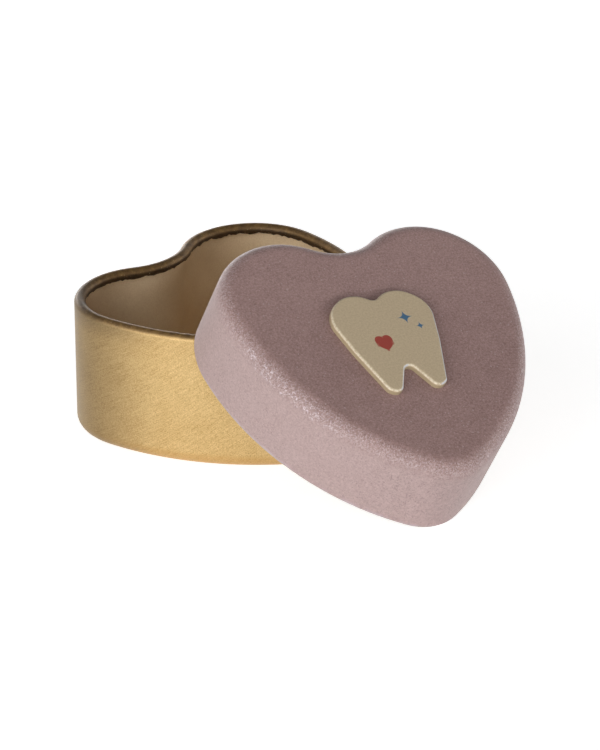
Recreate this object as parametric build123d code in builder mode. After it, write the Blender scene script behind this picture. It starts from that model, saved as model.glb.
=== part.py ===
from build123d import *
from math import asin, cos, radians, sin, sqrt, tan
import os

# Heart outline of the box, seen from above: lobes towards +Y, tip towards -Y, origin in the
# middle of its length and width on the table. Four arcs a side meet tangentially.
heart_width = 64.0
heart_length = 60.4
lobe_radius = 16.0
cleft_radius = 14.5
tip_radius = 10.5
flank_radius = 53.0

# Box: drawn tinplate with a rounded bottom corner and a rim rolled inwards
base_height = 29.0
base_tin = 0.3
base_corner_radius = 2.6
curl_radius = 1.2
curl_turn = 230.0
lining_thickness = 0.1

# Lid: pressed tinplate that slips over the box, with a thick coat outside
lid_depth = 18.9
lid_tin = 0.3
lid_coat_thickness = 0.15
lid_corner_radius = 3.5
slip_clearance = 0.65
bare_edge = 0.3

# Tooth badge: a raised plate, glued in the middle of the lid
badge_width = 22.9
badge_length = 24.6
badge_thickness = 1.4
badge_edge_radius = 0.6
badge_valley_radius = 1.8
badge_cusp_radius = 6.0
badge_shoulder_radius = 6.0
badge_waist_radius = 9.0
badge_root_radius = 1.4
badge_root_inner_radius = 1.8
badge_fork_radius = 1.4
badge_side_share = 0.95
glue_thickness = 0.1
glue_inset = 0.5
badge_offset_x = -1.2
badge_offset_y = 0.8

# The lid leans: its cut edge lies over the rolled rim at two places and its tip meets the table.
# Both places on the rim are angles on the flank arcs, down from straight out. The left place on
# the lid is an angle on its left lobe, up from straight out.
rim_clearance = 0.3
left_rest_angle = 28.0
right_rest_angle = 40.0
lid_rest_angle = 35.5

# Centres of the heart's arcs, and the points where the arcs meet on the right half
lobe_centre = Vector(heart_width / 2 - lobe_radius, heart_length / 2 - lobe_radius)
tip_centre = Vector(0, tip_radius - heart_length / 2)
cleft_rise = sqrt((cleft_radius + lobe_radius) ** 2 - lobe_centre.X**2)
cleft_centre = Vector(0, lobe_centre.Y + cleft_rise)
lobe_to_tip = tip_centre - lobe_centre
lobe_arm = flank_radius - lobe_radius
tip_arm = flank_radius - tip_radius
flank_along = (lobe_to_tip.length + (lobe_arm**2 - tip_arm**2) / lobe_to_tip.length) / 2
flank_aside = sqrt(lobe_arm**2 - flank_along**2)
lobe_to_tip_way = lobe_to_tip.normalized()
inward_way = Vector(lobe_to_tip_way.Y, -lobe_to_tip_way.X)
flank_centre = lobe_centre + lobe_to_tip_way * flank_along + inward_way * flank_aside

cleft_bottom = cleft_centre - Vector(0, cleft_radius)
cleft_end = cleft_centre + (lobe_centre - cleft_centre).normalized() * cleft_radius
lobe_end = lobe_centre + (lobe_centre - flank_centre).normalized() * lobe_radius
flank_end = tip_centre + (tip_centre - flank_centre).normalized() * tip_radius
tip_bottom = tip_centre - Vector(0, tip_radius)


def arc_about(centre, start, end):
    """Add the short arc from start to end about a centre."""
    middle_way = ((start - centre) + (end - centre)).normalized()
    return ThreePointArc(start, centre + middle_way * (start - centre).length, end)


with BuildSketch() as heart:
    with BuildLine():
        arc_about(cleft_centre, cleft_bottom, cleft_end)
        arc_about(lobe_centre, cleft_end, lobe_end)
        arc_about(flank_centre, lobe_end, flank_end)
        arc_about(tip_centre, flank_end, tip_bottom)
        mirror(about=Plane.YZ)
    make_face()

# Leaning lid: the places of rest on the box's rim and on the lid's cut edge give one chord, which
# stays level. The lid tilts about it until the far end of the cut edge meets the table.
rim_arm = flank_radius - curl_radius
left_turn = radians(left_rest_angle)
right_turn = radians(right_rest_angle)
left_rest = Vector(-flank_centre.X, flank_centre.Y) - Vector(cos(left_turn), sin(left_turn)) * rim_arm
right_rest = flank_centre + Vector(cos(right_turn), -sin(right_turn)) * rim_arm
chord = right_rest - left_rest

lid_turn = radians(lid_rest_angle)
lid_lobe_arm = lobe_radius + slip_clearance + lid_tin / 2
left_lobe_centre = Vector(-lobe_centre.X, lobe_centre.Y)
lid_left = left_lobe_centre + Vector(-cos(lid_turn), sin(lid_turn)) * lid_lobe_arm
across = lobe_centre - lid_left
across_way = across.normalized()
chord_along = (across.length + (chord.length**2 - lid_lobe_arm**2) / across.length) / 2
chord_aside = sqrt(chord.length**2 - chord_along**2)
lid_right = lid_left + across_way * chord_along + Vector(-across_way.Y, across_way.X) * chord_aside
lid_chord_way = (lid_right - lid_left).normalized()
lid_down_way = Vector(lid_chord_way.Y, -lid_chord_way.X)

lid_edge_grow = slip_clearance + lid_tin
slope_run = (tip_centre - lid_left).dot(lid_down_way) + tip_radius + lid_edge_grow
tilt = asin((base_height + rim_clearance) / slope_run)
chord_way = chord.normalized()
down_way = Vector(chord_way.Y, -chord_way.X) * cos(tilt) - Vector(0, 0, sin(tilt))
lid_x_way = chord_way * lid_chord_way.X + down_way * lid_down_way.X
lid_normal = down_way.cross(chord_way)
lid_left_run = chord_way * lid_left.dot(lid_chord_way) + down_way * lid_left.dot(lid_down_way)
lid_origin = left_rest + Vector(0, 0, base_height + rim_clearance) - lid_left_run
lid_plane = Plane(origin=lid_origin, x_dir=lid_x_way, z_dir=lid_normal)

os.makedirs("parts", exist_ok=True)


def rounded_heart(plane, grow, height, corner_radius):
    """A filled heart that starts on a plane, grown outwards, with its edge there rounded."""
    with BuildPart() as block:
        with BuildSketch(plane):
            add(heart.sketch)
            if grow:
                offset(amount=grow)
        extrude(amount=height)
        fillet(block.faces().sort_by_distance(plane.origin)[0].edges(), radius=corner_radius)
    return block.part


# Box body: a cup with a rounded bottom corner, then the rim rolled inwards from the wall's top
curl_height = base_height - curl_radius
base_floor = Plane.XY.offset(base_tin)
base_inner_radius = base_corner_radius - base_tin
with BuildSketch(Plane.XY.offset(curl_height)) as curl_ring:
    add(heart.sketch)
    offset(amount=-curl_radius)
curl_path = curl_ring.sketch.wire()
curl_way = curl_path % 0
curl_section = Plane(origin=curl_path @ 0, x_dir=curl_way.cross(Vector(0, 0, 1)), z_dir=-curl_way)

with BuildPart() as base_shell:
    add(rounded_heart(Plane.XY, 0, curl_height, base_corner_radius))
    add(rounded_heart(base_floor, -base_tin, base_height, base_inner_radius), mode=Mode.SUBTRACT)
    with BuildSketch(curl_section):
        with BuildLine():
            outside = CenterArc((0, 0), curl_radius, 0, curl_turn)
            inside = CenterArc((0, 0), curl_radius - base_tin, 0, curl_turn)
            Line(outside @ 0, inside @ 0)
            Line(outside @ 1, inside @ 1)
        make_face()
    sweep(path=curl_path)
base_shell.part.label = "base_shell"
export_step(base_shell.part, "parts/base_shell.step")

# Cream coat on the inside of the box, from its floor up to the level of the roll's underside
lining_top = base_height - 2 * curl_radius
lining_grow = -base_tin - lining_thickness
lining_floor = base_floor.offset(lining_thickness)
lining_inner_radius = base_inner_radius - lining_thickness
with BuildPart() as base_lining:
    add(rounded_heart(base_floor, -base_tin, lining_top - base_tin, base_inner_radius))
    add(rounded_heart(lining_floor, lining_grow, base_height, lining_inner_radius), mode=Mode.SUBTRACT)
base_lining.part.label = "base_lining"
export_step(base_lining.part, "parts/base_lining.step")

# Lid body: the same heart, large enough to slip over the box, open underneath
lid_top = lid_plane.offset(lid_depth)
lid_tin_top = lid_top.offset(-lid_coat_thickness)
lid_ceiling = lid_tin_top.offset(-lid_tin)
lid_tin_depth = lid_depth - lid_coat_thickness
lid_tin_radius = lid_corner_radius - lid_coat_thickness
lid_inner_radius = lid_tin_radius - lid_tin
with BuildPart() as lid_shell:
    add(rounded_heart(lid_tin_top, lid_edge_grow, -lid_tin_depth, lid_tin_radius))
    add(rounded_heart(lid_ceiling, slip_clearance, -lid_depth, lid_inner_radius), mode=Mode.SUBTRACT)
lid_shell.part.label = "lid_shell"
export_step(lid_shell.part, "parts/lid_shell.step")

# Mauve coat over the lid's top and skirt, which leaves the cut edge bare
coat_grow = lid_edge_grow + lid_coat_thickness
with BuildPart() as lid_coat:
    add(rounded_heart(lid_top, coat_grow, bare_edge - lid_depth, lid_corner_radius))
    add(rounded_heart(lid_tin_top, lid_edge_grow, -lid_depth, lid_tin_radius), mode=Mode.SUBTRACT)
lid_coat.part.label = "lid_coat"
export_step(lid_coat.part, "parts/lid_coat.step")

# Badge outline: a plain molar, crown up, whose corners are all rounded. The places of its corners
# are shares of its half width and half length, from the middle of the crown round the right half
# to the fork of the roots, and their radii go in the same order. The arcs may take up a share of
# each side. On a narrower badge, where they would need more, all of them become smaller alike.
badge_corner_shares = [
    (0.00, 0.84),
    (0.43, 1.11),
    (1.07, 0.70),
    (0.87, -0.10),
    (0.59, -0.93),
    (0.37, -1.06),
    (0.00, -0.40),
]
right_radii = [
    badge_valley_radius,
    badge_cusp_radius,
    badge_shoulder_radius,
    badge_waist_radius,
    badge_root_radius,
    badge_root_inner_radius,
    badge_fork_radius,
]
right_points = [Vector(x * badge_width / 2, y * badge_length / 2) for x, y in badge_corner_shares]
left_points = [Vector(-point.X, point.Y) for point in reversed(right_points[1:-1])]
tooth_points = right_points + left_points
tooth_radii = right_radii + right_radii[-2:0:-1]


def arc_run(before, corner, after, radius):
    """How far from a corner the arc that rounds it starts."""
    return radius / tan(radians((before - corner).get_angle(after - corner)) / 2)


points_before = tooth_points[-1:] + tooth_points[:-1]
points_after = tooth_points[1:] + tooth_points[:1]
arc_runs = [arc_run(*corner) for corner in zip(points_before, tooth_points, points_after, tooth_radii)]
next_runs = arc_runs[1:] + arc_runs[:1]
sides = [(after - point).length for point, after in zip(tooth_points, points_after)]
room_shares = [side / (run + next_run) for side, run, next_run in zip(sides, arc_runs, next_runs)]
radius_share = min(1, badge_side_share * min(room_shares))
fitted_radii = [radius * radius_share for radius in tooth_radii]
with BuildSketch() as tooth:
    with BuildLine():
        FilletPolyline(tooth_points, radius=fitted_radii, close=True)
    make_face()

badge_seat = Plane(
    origin=lid_top.from_local_coords((badge_offset_x, badge_offset_y, 0)),
    x_dir=lid_top.x_dir,
    z_dir=lid_top.z_dir,
)
with BuildPart() as badge_adhesive:
    with BuildSketch(badge_seat):
        add(tooth.sketch)
        offset(amount=-glue_inset)
    extrude(amount=glue_thickness)
badge_adhesive.part.label = "badge_adhesive"
export_step(badge_adhesive.part, "parts/badge_adhesive.step")

badge_axis = Axis(badge_seat.origin, badge_seat.z_dir)
with BuildPart() as tooth_badge:
    with BuildSketch(badge_seat.offset(glue_thickness)):
        add(tooth.sketch)
    extrude(amount=badge_thickness)
    fillet(tooth_badge.faces().sort_by(badge_axis)[-1].edges(), radius=badge_edge_radius)
tooth_badge.part.label = "tooth_badge"
export_step(tooth_badge.part, "parts/tooth_badge.step")
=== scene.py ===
from math import atan2, cos, pi, radians, sin

import bpy
from mathutils import Matrix, Vector


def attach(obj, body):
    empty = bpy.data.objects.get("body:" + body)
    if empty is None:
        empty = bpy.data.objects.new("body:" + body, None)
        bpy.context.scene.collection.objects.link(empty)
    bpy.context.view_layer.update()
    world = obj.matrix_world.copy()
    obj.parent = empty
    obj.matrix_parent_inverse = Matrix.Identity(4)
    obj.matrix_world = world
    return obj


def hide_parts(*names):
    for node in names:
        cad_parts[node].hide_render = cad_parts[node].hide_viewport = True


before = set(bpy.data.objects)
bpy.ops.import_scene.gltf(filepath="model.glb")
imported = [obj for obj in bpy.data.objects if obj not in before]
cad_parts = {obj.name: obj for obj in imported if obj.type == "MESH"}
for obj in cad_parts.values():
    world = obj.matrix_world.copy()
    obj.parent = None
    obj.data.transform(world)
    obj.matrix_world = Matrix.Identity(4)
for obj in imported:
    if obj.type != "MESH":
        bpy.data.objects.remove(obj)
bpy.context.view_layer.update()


# The box body is one piece of tinplate, drawn into a heart-shaped cup and printed with gold lacquer
# before it was drawn. Its rim is rolled inwards and coloured dark bronze, partly its own lacquer and
# partly painted shade, darker on the lobes and the left lobe, with a painted shadow under the roll and
# small painted highlights. The cut edge under the roll is left as the shears and the draw made it,
# uneven and nicked.
mm = 0.001
lobe_centre = Vector((16.0, 14.2)) * mm
cleft_centre, cleft_radius = Vector((0.0, 40.1663)) * mm, 14.5 * mm
flank_centre = Vector((-20.8679, 17.3241)) * mm
tip_centre = Vector((0.0, -19.7)) * mm
box_height, tin, corner, roll = 29.0 * mm, 0.3 * mm, 2.6 * mm, 1.2 * mm
roll_turn = radians(230)


def heading(start, end):
    """The direction from one centre to another, seen from above."""
    return atan2(end.y - start.y, end.x - start.x)


cleft_turn = heading(cleft_centre, lobe_centre) + pi / 2
flank_start = heading(flank_centre, lobe_centre)
lobe_turn = cleft_turn + pi / 2 - flank_start
flank_turn = flank_start - heading(flank_centre, tip_centre)
tip_turn = heading(flank_centre, tip_centre) + pi / 2
right_arcs = [
    (cleft_centre, -cleft_turn, 14),
    (lobe_centre, lobe_turn, 60),
    (flank_centre, flank_turn, 80),
    (tip_centre, tip_turn, 16),
]
left_arcs = [(Vector((-centre.x, centre.y)), turn, steps) for centre, turn, steps in reversed(right_arcs)]
cleft_bottom = cleft_centre.y - cleft_radius


def start_section(name, out, up):
    """A new piece with one point of its section: out from the heart's line at the cleft, and up."""
    bpy.ops.object.select_all(action="DESELECT")
    bpy.ops.mesh.primitive_plane_add(size=mm, location=(0, 0, 0))
    piece = bpy.context.object
    piece.name = piece.data.name = name
    bpy.ops.object.mode_set(mode="EDIT")
    bpy.ops.mesh.merge(type="CENTER")
    bpy.ops.transform.translate(value=(0, cleft_bottom + out, up))
    return piece


def draw(out, up):
    """Carries the section on in a straight line."""
    bpy.ops.mesh.extrude_vertices_move(TRANSFORM_OT_translate={"value": (0, out, up)})


def bend(centre, turn, steps):
    """Carries the section on round a centre, upwards from straight out."""
    middle = (0, cleft_bottom + centre[0], centre[1])
    bpy.ops.mesh.spin(steps=steps, angle=turn, center=middle, axis=(-1, 0, 0))


def mark_section(piece, sway, mark):
    """Gives each point of the section two shares, from rules on its place: how far it may wander,
    and a mark for its finish."""
    bpy.ops.object.mode_set(mode="OBJECT")
    places = [(point.co.y - cleft_bottom, point.co.z) for point in piece.data.vertices]
    group = piece.vertex_groups.new(name="sway")
    for index, section_place in enumerate(places):
        group.add([index], sway(*section_place), "REPLACE")
    marks = piece.data.attributes.new("mark", "FLOAT", "POINT")
    marks.data.foreach_set("value", [mark(*section_place) for section_place in places])
    bpy.ops.object.mode_set(mode="EDIT")


def spin_heart():
    """Spins the section round the heart's arcs in turn, closes the seam and fills the flat middles."""
    bpy.ops.mesh.select_all(action="SELECT")
    for centre, turn, steps in right_arcs + left_arcs:
        bpy.ops.mesh.spin(steps=steps, angle=turn, center=(centre.x, centre.y, 0), axis=(0, 0, 1))
    bpy.ops.mesh.select_all(action="SELECT")
    bpy.ops.mesh.remove_doubles(threshold=mm / 1000)
    bpy.ops.mesh.fill_holes(sides=0)
    bpy.ops.mesh.select_all(action="SELECT")
    bpy.ops.mesh.normals_make_consistent(inside=False)
    bpy.ops.object.mode_set(mode="OBJECT")


def wander(piece, size, depth, way):
    """Pushes what may sway along a direction, by an uneven amount that changes over a given size."""
    cloud = bpy.data.textures.new(piece.name + "_wander", "CLOUDS")
    cloud.noise_scale = size
    cloud.noise_depth = 2
    push = piece.modifiers.new("wander", "DISPLACE")
    push.texture = cloud
    push.texture_coords = "LOCAL"
    push.direction = way
    push.strength = depth
    push.mid_level = 0.5
    push.vertex_group = "sway"
    bpy.ops.object.modifier_apply(modifier=push.name)


roll_centre = (-roll, box_height - roll)
corner_centre = (-corner, corner)
roll_end = (cos(roll_turn), sin(roll_turn))
lowest_of_roll, end_of_roll = roll_centre[1] - 1.1 * roll, roll_turn + 0.1
sway_start, sway_turn, sway_curve = radians(150), radians(80), 1.5


def along_roll(out, up):
    """The angle along the roll, from the wall's outside over the top, or 0 on the wall."""
    angle = atan2(up - roll_centre[1], out - roll_centre[0]) % (2 * pi)
    on_wall = up < lowest_of_roll or angle > end_of_roll
    return 0.0 if on_wall else angle


def roll_sway(out, up):
    """All of the cut edge wanders, and less and less of the roll before it."""
    return min(1.0, max(0.0, (along_roll(out, up) - sway_start) / sway_turn)) ** sway_curve


def roll_mark(out, up):
    """0 on the wall and 1 at the cut edge."""
    return along_roll(out, up) / roll_turn


corner_steps, roll_steps, inner_roll_steps = 8, 28, 24
box_body = start_section("box_body", -corner, 0)
bend(corner_centre, pi / 2, corner_steps)
draw(0, roll_centre[1] - corner)
bend(roll_centre, roll_turn, roll_steps)
draw(-tin * roll_end[0], -tin * roll_end[1])
bend(roll_centre, -roll_turn, inner_roll_steps)
draw(0, corner - roll_centre[1])
bend(corner_centre, -pi / 2, corner_steps)
mark_section(box_body, roll_sway, roll_mark)
spin_heart()
long_wave, nick, edge_depth, sharp_edge = 4.0 * mm, 0.9 * mm, 0.9 * mm, radians(40)
wander(box_body, long_wave, edge_depth, "Z")
wander(box_body, nick, edge_depth, "Z")
bpy.ops.object.shade_smooth_by_angle(angle=sharp_edge)


def screen(red, green, blue):
    """A colour as a screen shows it, from 0 to 255, as the light it stands for."""
    shares = [channel / 255 for channel in (red, green, blue)]
    return tuple(s / 12.92 if s <= 0.04045 else ((s + 0.055) / 1.055) ** 2.4 for s in shares) + (1.0,)


class Tone:
    """A socket of a finish's nodes, which takes part in sums as a number does."""

    def __init__(self, tree, socket=None):
        self.tree = tree
        self.socket = socket

    def node(self, kind, settings, sockets, out=0):
        """Adds a node, makes its settings, then sets or links its sockets, and gives one output."""
        node = self.tree.nodes.new("ShaderNode" + kind)
        for name, setting in settings.items():
            if name == "stops":
                for element, (position, colour) in zip(node.color_ramp.elements, setting):
                    element.position, element.color = position, colour
            else:
                setattr(node, name, setting)
        for name, value in sockets.items():
            if isinstance(value, Tone):
                self.tree.links.new(value.socket, node.inputs[name])
            else:
                node.inputs[name].default_value = value
        return Tone(self.tree, node.outputs[out])

    def sum(self, operation, *values):
        """A Math node on these values."""
        return self.node("Math", {"operation": operation}, dict(enumerate(values)))

    def __add__(self, other):
        return self.sum("ADD", self, other)

    def __sub__(self, other):
        return self.sum("SUBTRACT", self, other)

    def __rsub__(self, other):
        return self.sum("SUBTRACT", other, self)

    def __mul__(self, other):
        return self.sum("MULTIPLY", self, other)

    def __truediv__(self, other):
        return self.sum("DIVIDE", self, other)

    def __pow__(self, other):
        return self.sum("POWER", self, other)

    __radd__ = __add__
    __rmul__ = __mul__

    def ramp(self, low, high):
        """0 below low, 1 above high and smooth between them. Low and high may be the other way round."""
        sockets = {"Value": self, "From Min": low, "From Max": high}
        return self.node("MapRange", {"interpolation_type": "SMOOTHSTEP"}, sockets)

    def over(self, under, cover):
        """The colour under, covered by another where this mask is 1."""
        return self.node("Mix", {"data_type": "RGBA"}, {0: self, 6: under, 7: cover}, out=2)

    def parts(self):
        """The three numbers of a vector."""
        first = self.node("SeparateXYZ", {}, {0: self})
        return [Tone(self.tree, socket) for socket in first.socket.node.outputs]

    def grain(self, size, detail=3.0, roughness=0.5, distortion=0.0):
        """Soft noise whose lumps are about a given size, at a place."""
        sockets = {"Vector": self, "Scale": 1 / size, "Detail": detail, "Roughness": roughness}
        return self.node("TexNoise", {}, {**sockets, "Distortion": distortion})

    def cells(self, size):
        """How far a place is from the nearest of many scattered points that lie about a size apart."""
        return self.node("TexVoronoi", {}, {"Vector": self, "Scale": 1 / size})

    def shades(self, first_stop, last_stop):
        """A colour that runs from one stop to the other as this grows. A stop is a number and a colour."""
        return self.node("ValToRGB", {"stops": (first_stop, last_stop)}, {0: self})

    def relief(self, strength, depth):
        """The way a surface faces that has this height, for its shader."""
        return self.node("Bump", {}, {"Strength": strength, "Distance": depth, "Height": self})


def new_finish(name):
    """A material with a surface shader only, and its palette of nodes."""
    material = bpy.data.materials.new(name)
    material.use_nodes = True
    return material, Tone(material.node_tree)


def lay(material, normal=None, **sockets):
    """Sets or links the surface shader's sockets, whose names are written with underscores."""
    shader = material.node_tree.nodes["Principled BSDF"]
    if normal:
        material.node_tree.links.new(normal.socket, shader.inputs["Normal"])
    for name, value in sockets.items():
        socket = shader.inputs[name.replace("_", " ")]
        if isinstance(value, Tone):
            material.node_tree.links.new(value.socket, socket)
        else:
            socket.default_value = value


gold, palette = new_finish("gold_lacquered_tin")
place = palette.node("TexCoord", {}, {}, out="Object")
x, y, z = place.parts()

streak_turn, streak_rise, wall_radius = -50.0, 0.15, 28.0 * mm
flat_way = palette.node("CombineXYZ", {}, {0: x, 1: y})
round_way = palette.node("VectorMath", {"operation": "NORMALIZE"}, {0: flat_way})
round_place = palette.node("VectorMath", {"operation": "SCALE"}, {0: round_way, "Scale": wall_radius})
winding = {"Vector": round_place, "Angle": z * streak_turn}
wound_place = palette.node("VectorRotate", {"rotation_type": "Z_AXIS"}, winding)
slow_rise = palette.node("CombineXYZ", {}, {2: z * streak_rise})
streak_place = palette.node("VectorMath", {"operation": "ADD"}, {0: wound_place, 1: slow_rise})
streaks = streak_place.grain(0.3 * mm, detail=4.0, roughness=0.6)
speckle = place.grain(0.27 * mm, detail=2.0, roughness=0.7)
patches = place.grain(6.0 * mm, detail=3.0, roughness=0.55)
pinholes = place.cells(1.5 * mm).ramp(0.09, 0.04)
brushed = streaks * 0.34 + speckle * 0.54 + patches * 0.12

round_lobes = y.ramp(-3.0 * mm, 17.0 * mm)
left_lobe = (y - x).ramp(43.0 * mm, 52.0 * mm)
bottom_band = z.ramp(3.4 * mm, 2.3 * mm)
upper_wall = z.ramp(19.0 * mm, 28.0 * mm)
wall_top = z.ramp(24.0 * mm, 28.0 * mm)
bottom_gold, upper_gold, lobe_top_shade = screen(196, 152, 88), screen(160, 122, 72), screen(92, 74, 50)
pinhole_brown = screen(96, 72, 40)
lacquer = brushed.shades((0.38, screen(182, 147, 88)), (0.62, screen(226, 195, 138)))
lobe_shade_lacquer = brushed.shades((0.38, screen(128, 103, 63)), (0.62, screen(162, 136, 92)))
lacquer = (bottom_band * 0.4).over(lacquer, bottom_gold)
lacquer = (upper_wall * 0.1).over(lacquer, upper_gold)
# Painted shade: the lacquer is darker and duller round the lobes, most of all near the top of the wall.
lacquer = (round_lobes * 0.92).over(lacquer, lobe_shade_lacquer)
lacquer = (round_lobes * wall_top * 0.45).over(lacquer, lobe_top_shade)
lacquer = (pinholes * 0.55).over(lacquer, pinhole_brown)

rolled = palette.node("Attribute", {"attribute_name": "mark"}, {}, out="Fac")
on_roll = palette.sum("MAXIMUM", rolled.ramp(0.15, 0.35), z.ramp(27.8 * mm, 28.9 * mm))
under_roll = rolled.ramp(0.66, 0.8)
tarnish = place.grain(1.6 * mm, detail=5.0, roughness=0.65)
painted_glints = place.grain(0.35 * mm, detail=2.0, roughness=0.5).ramp(0.66, 0.74)
lobe_roll_shade, left_roll_shade, under_roll_shadow = screen(60, 46, 32), screen(62, 48, 34), screen(42, 28, 14)
painted_glint_gold = screen(206, 184, 140)
# The roll's dark bronze is partly painted shade; below it come more painted shade on the lobes, a painted
# shadow under the roll and small painted highlights.
bronze = tarnish.shades((0.35, screen(106, 79, 45)), (0.7, screen(160, 125, 74)))
bronze = (round_lobes * 0.2).over(bronze, lobe_roll_shade)
bronze = (left_lobe * 0.55).over(bronze, left_roll_shade)
bronze = (under_roll * 0.8).over(bronze, under_roll_shadow)
bronze = (painted_glints * 0.5).over(bronze, painted_glint_gold)

colour = on_roll.over(lacquer, bronze)
tooled = (streaks * 0.7 + speckle * 0.5 + patches * 0.4).relief(0.25, 0.02 * mm)
shine = {"Metallic": 0.5 - on_roll * 0.1, "Roughness": streaks * 0.16 + on_roll * 0.1 + 0.34}
lay(gold, tooled, Base_Color=colour, **shine)
box_body.data.materials.append(gold)
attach(box_body, "box")
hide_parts("base_shell")


# The inside of the box is roller-coated with a cream lacquer before the tin is drawn. It is thin
# and satin and covers the floor and the wall up to the roll. Painted shade makes it browner low down
# and on the left.
def dress(name, material):
    """Gives a piece its finish in place of the plain one."""
    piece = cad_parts[name]
    piece.data.materials.clear()
    piece.data.materials.append(material)


cream, palette = new_finish("cream_lacquer")
place = palette.node("TexCoord", {}, {}, out="Object")
x, _, z = place.parts()
cloudy = place.grain(9.0 * mm, detail=3.0, roughness=0.5)
fine = place.grain(0.35 * mm, detail=3.0, roughness=0.6)
low_down, on_left = z.ramp(20.0 * mm, 3.0 * mm), x.ramp(-12.0 * mm, -28.0 * mm)
low_shade_cream, left_shade_brown = screen(216, 184, 140), screen(142, 106, 68)
lacquer = (cloudy * 0.5 + fine * 0.5).shades((0.38, screen(230, 201, 160)), (0.62, screen(246, 220, 181)))
# Painted shade: darker low down inside the box and on its left side.
lacquer = (low_down * 0.5).over(lacquer, low_shade_cream)
lacquer = (on_left * 0.55).over(lacquer, left_shade_brown)
lay(cream, fine.relief(0.2, 0.01 * mm), Base_Color=lacquer, Roughness=0.38, Coat_Weight=0.1)
dress("base_lining", cream)


# The lid is pressed from bare tinplate, bright inside with fine rolling marks, and slips over the
# box. Its cut edge shows as a thin silver line under the coat.
plate, palette = new_finish("bare_tinplate")
place = palette.node("TexCoord", {}, {}, out="Object")
rolling = {"Rotation": (radians(30), 0, radians(-20)), "Scale": (1, 0.04, 1)}
marks = palette.node("Mapping", {}, {"Vector": place, **rolling}).grain(0.25 * mm, detail=4.0, roughness=0.6)
tinned = marks.shades((0.3, screen(178, 174, 168)), (0.7, screen(208, 205, 200)))
lay(plate, Base_Color=tinned, Metallic=1.0, Roughness=marks * 0.2 + 0.28)
dress("lid_shell", plate)


# The lid is sprayed outside with a thick matt mauve coat, which dries to a fine suede-like nap with
# pale specks. Its top carries painted shade, a little lighter towards the lobes, and its skirt painted
# light. Pale strands along the pressed corner, most of all midway along the flanks, are partly nap and
# partly painted highlight, and a painted highlight runs near the top edge. It wrinkles slightly at the
# tip, with painted shade in the creases, and ends in a thin pale line above the cut edge.
lid_across = Vector((0.940183, -0.331785, -0.077293))
lid_along = Vector((0.325775, 0.809277, 0.488816))
lid_up = lid_across.cross(lid_along)
lid_corner = Vector((-4.77105, -36.2279, 15.2962)) * mm
lid_lean = Matrix((lid_across, lid_along, lid_up)).transposed().to_4x4()
lid_lean.translation = lid_corner
lean_back = lid_lean.inverted()
lid_depth = 18.9 * mm


def lid_level(palette):
    """A place on the lid, measured across, along and up from the middle of its cut edge."""
    place = palette.node("TexCoord", {}, {}, out="Object")
    turn = {"Location": lean_back.translation, "Rotation": lean_back.to_euler()}
    return palette.node("Mapping", {}, {"Vector": place, **turn})


mauve, palette = new_finish("mauve_coat")
level = lid_level(palette)
_, lid_y, lid_z = level.parts()
below_top = lid_depth - lid_z
skirt = below_top.ramp(0.0, 4.5 * mm)
rim_light_band = below_top.ramp(3.2 * mm, 1.8 * mm) * below_top.ramp(0.0, 0.4 * mm)
ridge = below_top.ramp(3.7 * mm, 2.5 * mm) * below_top.ramp(0.4 * mm, 1.3 * mm)
flank_middle = lid_y.ramp(-19.0 * mm, -12.0 * mm) * lid_y.ramp(10.0 * mm, 4.0 * mm)
near_tip = lid_y.ramp(-20.0 * mm, -27.0 * mm) * skirt
cut_line = lid_z.ramp(1.1 * mm, 0.5 * mm)

fibres = level.grain(0.45 * mm, detail=6.0, roughness=0.65, distortion=0.6)
blotches = level.grain(3.5 * mm, detail=4.0, roughness=0.6)
nap = level.grain(0.3 * mm, detail=3.0, roughness=0.6)
specks = level.cells(1.6 * mm).ramp(0.13, 0.07)
curls = level.grain(0.8 * mm, detail=3.0, roughness=0.6, distortion=2.0).ramp(0.55, 0.62)
folds = level.grain(2.6 * mm, detail=4.0, roughness=0.6, distortion=1.0)
strands = ridge * curls * (flank_middle * 0.7 + 0.3)
wrinkles = palette.sum("ABSOLUTE", folds - 0.5).ramp(0.016, 0.004) * near_tip

light_nap, dark_nap, pale_speck = screen(204, 176, 178), screen(112, 88, 88), screen(200, 182, 178)
rim_highlight_pale, strand_nap_and_highlight = screen(214, 198, 198), screen(238, 224, 230)
crease_shade_brown, line_pale = screen(128, 100, 98), screen(208, 192, 202)
shade = fibres * 0.85 + blotches * 0.15
# Painted light: the top is painted darker than the skirt, and a little lighter towards the lobes.
top_shade = shade + lid_y.ramp(-12.0 * mm, 28.0 * mm) * 0.07
shaded_top_paint = top_shade.shades((0.4, screen(143, 113, 108)), (0.64, screen(180, 148, 143)))
lit_skirt_paint = shade.shades((0.36, screen(179, 153, 150)), (0.68, screen(207, 183, 180)))
paint = skirt.over(shaded_top_paint, lit_skirt_paint)
paint = (nap.ramp(0.57, 0.68) * (1 - skirt * 0.5) * 0.5).over(paint, light_nap)
paint = (nap.ramp(0.42, 0.3) * 0.45).over(paint, dark_nap)
paint = (specks * (1 - skirt) * 0.55).over(paint, pale_speck)
# A painted highlight of pale nap along the upper corner.
paint = (rim_light_band * nap.ramp(0.48, 0.62) * 0.4).over(paint, rim_highlight_pale)
# The pale strands are partly the coat's nap and partly painted highlight.
paint = (strands * 0.8).over(paint, strand_nap_and_highlight)
# Painted shade in the creases near the tip.
paint = (wrinkles * 0.35).over(paint, crease_shade_brown)
paint = (cut_line * blotches.ramp(0.4, 0.6) * 0.5).over(paint, line_pale)
suede = (fibres + strands * 0.8 - wrinkles * 0.6).relief(0.7, 0.06 * mm)
sheen = {"Sheen_Weight": 0.15, "Sheen_Roughness": 0.4}
lay(mauve, suede, Base_Color=paint, Roughness=0.6 - strands * 0.25, **sheen)
dress("lid_coat", mauve)


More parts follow.
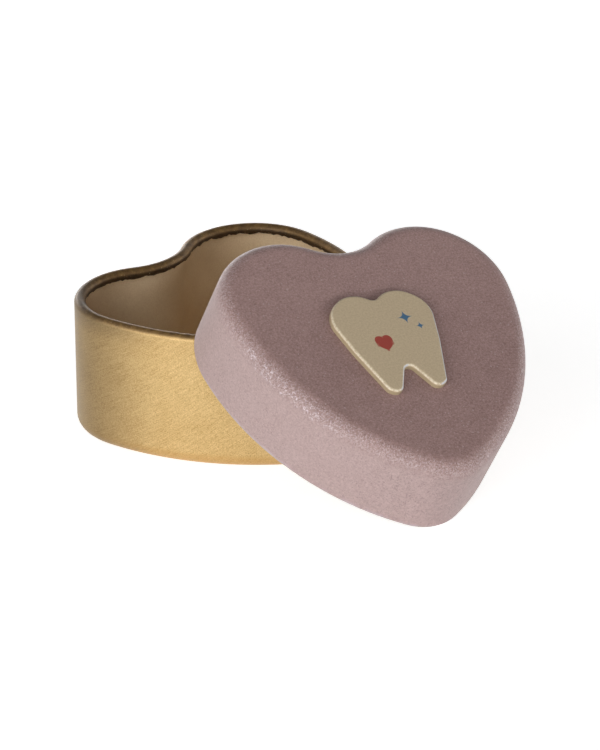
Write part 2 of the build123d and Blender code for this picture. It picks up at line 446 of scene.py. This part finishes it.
# A thin film of clear glue holds the badge on the lid's coat. It goes on before the badge is set
# down, and ends a little short of the badge's edge, so that next to none of it shows.
glue_film = 0.1 * mm
glue, palette = new_finish("clear_glue")
place = palette.node("TexCoord", {}, {}, out="Object")
lay(glue, Base_Color=screen(214, 208, 196), Roughness=place.grain(1.0 * mm) * 0.2 + 0.3)
dress("badge_adhesive", glue)


# The badge is a plain cast plate in the shape of a molar, enamelled cream. Its side wall is painted darker
# as shade, and its rounded edges carry a painted highlight, with a painted reflection whiter on the right
# side and along the fork.
# A small red heart and two blue four-point sparkles are painted on its face.
badge_plate, badge_left, badge_rise = 1.4 * mm, 1.2 * mm, 0.8 * mm
sparkles = [((4.6, 5.2), 1.9), ((7.0, 2.6), 1.1)]
heart_middle, heart_size = (-2.6, -0.6), 1.7
enamel, palette = new_finish("cream_enamel")
level = lid_level(palette)
lid_x, lid_y, lid_z = level.parts()
badge_x, badge_y = lid_x + badge_left, lid_y - badge_rise
below_face = lid_depth + glue_film + badge_plate - lid_z
on_face = below_face.ramp(0.1 * mm, 0.05 * mm)
rounded = below_face.ramp(0.45 * mm, 0.3 * mm) * below_face.ramp(0.02 * mm, 0.1 * mm)
wall = below_face.ramp(0.4 * mm, 0.6 * mm)
right_side = (badge_x - badge_y * 0.31).ramp(8.4 * mm, 9.2 * mm)
fork_line = badge_x - badge_y * 0.52
fork_side = fork_line.ramp(1.7 * mm, 2.3 * mm) * fork_line.ramp(3.6 * mm, 3.0 * mm)
fork_side = fork_side * badge_y.ramp(-5.0 * mm, -6.0 * mm)

wall_shade_cream, edge_highlight_cream, edge_reflection_white = screen(174, 156, 124), screen(240, 230, 206), screen(214, 220, 230)
blue_paint, red_paint = screen(44, 108, 150), screen(168, 54, 50)
dust = level.grain(0.4 * mm, detail=4.0, roughness=0.6)
cream_paint = dust.shades((0.38, screen(201, 181, 149)), (0.62, screen(213, 194, 163)))
# Painted shade on the side wall, then painted highlight and painted reflection on the rounded edges.
cream_paint = (wall * 0.8).over(cream_paint, wall_shade_cream)
cream_paint = (rounded * dust.ramp(0.35, 0.6) * 0.6).over(cream_paint, edge_highlight_cream)
cream_paint = (rounded * (right_side + fork_side) * 0.75).over(cream_paint, edge_reflection_white)


def painted(middle, size):
    """The place on the badge's face, in sizes from the middle of a small painted ornament."""
    return (badge_x - middle[0] * mm) / (size * mm), (badge_y - middle[1] * mm) / (size * mm)


for sparkle in sparkles:
    u, v = [palette.sum("SQRT", palette.sum("ABSOLUTE", side)) for side in painted(*sparkle)]
    cream_paint = ((u + v).ramp(1.06, 0.96) * on_face * 0.9).over(cream_paint, blue_paint)
u, v = painted(heart_middle, heart_size)
round_part = u * u + v * v - 1
heart = (round_part**3 - u * u * v**3).ramp(0.05, -0.02)
cream_paint = (heart * on_face * 0.92).over(cream_paint, red_paint)
lay(enamel, Base_Color=cream_paint, Roughness=0.32)
dress("tooth_badge", enamel)


# The tin stands on a round white paper table inside a round white backdrop. Four low lamps stand
# round it from its left to its right, one low lamp behind it, and two larger ones higher up, left
# of the viewer.
table_radius, wall_height, table_drop = 4.0, 2.4, 0.02 * mm
table_shown, mirrored_shown, backdrop_shown = 0.72, 0.72, 1.0


def white_paper(name, seen_shown):
    """White paper that is shown at one level to the viewer, and at another in what mirrors it."""
    white, palette = new_finish(name)
    rays = palette.node("LightPath", {}, {}).socket.node.outputs
    seen, mirrored, passed = [
        Tone(palette.tree, rays["Is " + kind + " Ray"]) for kind in ("Camera", "Glossy", "Transmission")
    ]
    shown = seen * seen_shown + palette.sum("MINIMUM", mirrored + passed, 1.0) * mirrored_shown
    lay(white, Base_Color=(0.85, 0.85, 0.85, 1), Roughness=0.9)
    lay(white, Emission_Color=(1, 1, 1, 1), Emission_Strength=shown)
    return white


bpy.ops.object.select_all(action="DESELECT")
at_table = {"vertices": 96, "radius": table_radius, "location": (0, 0, -table_drop)}
bpy.ops.mesh.primitive_circle_add(fill_type="NGON", **at_table)
table = bpy.context.object
table.name = "table"
round_table = {"vertices": 96, "radius": table_radius, "location": (0, 0, wall_height / 2)}
bpy.ops.mesh.primitive_cylinder_add(depth=wall_height, end_fill_type="NOTHING", **round_table)
backdrop = bpy.context.object
backdrop.name = "backdrop"
table.data.materials.append(white_paper("table_paper", table_shown))
backdrop.data.materials.append(white_paper("backdrop_paper", backdrop_shown))

studio = bpy.data.worlds.new("studio")
bpy.context.scene.world = studio
studio.use_nodes = True
soft_light = studio.node_tree.nodes["Background"].inputs
soft_light["Color"].default_value = (1, 1, 1, 1)
soft_light["Strength"].default_value = 0.115


def lamp(name, way, distance, size, level):
    """A flat soft lamp that looks at the object from a direction. Its level is how bright it makes
    a facing white sheet there."""
    bpy.ops.object.light_add(type="AREA", location=Vector(way).normalized() * distance)
    light = bpy.context.object
    light.name = name
    light.data.shape = "RECTANGLE"
    light.data.size, light.data.size_y = size
    light.data.energy = level * (pi * distance) ** 2
    light.rotation_euler = Vector(way).to_track_quat("Z", "Y").to_euler()


low_size = (1.2, 0.3)
lamp("low_left_lamp", (-1.0, -0.15, 0.09), 1.2, low_size, 0.12)
lamp("low_middle_lamp", (-0.75, -0.66, 0.09), 1.2, low_size, 0.20)
lamp("low_front_lamp", (-0.1, -1.0, 0.09), 1.2, low_size, 0.23)
lamp("low_right_lamp", (0.8, -0.6, 0.09), 1.2, low_size, 0.29)
lamp("left_lamp", (-1.0, 0.1, 0.35), 1.1, (1.0, 0.7), 0.34)
lamp("upper_lamp", (-0.77, -0.43, 0.46), 1.1, (0.9, 0.9), 0.20)
lamp("low_back_lamp", (0.5, 0.86, 0.12), 1.2, (0.9, 0.2), 0.41)

azimuth, elevation = radians(-48.6739), radians(24.7714)
viewpoint = Vector((-534.364, -482.822, 341.685)) * mm
back = Vector((sin(azimuth) * cos(elevation), -cos(azimuth) * cos(elevation), sin(elevation)))
bpy.ops.object.camera_add(location=viewpoint)
camera = bpy.context.object
camera.rotation_euler = back.to_track_quat("Z", "Y").to_euler()
camera.data.lens = 180.73
camera.data.clip_start, camera.data.clip_end = 0.01, 50.0
bpy.context.scene.camera = camera
bpy.context.scene.view_settings.view_transform = "Standard"
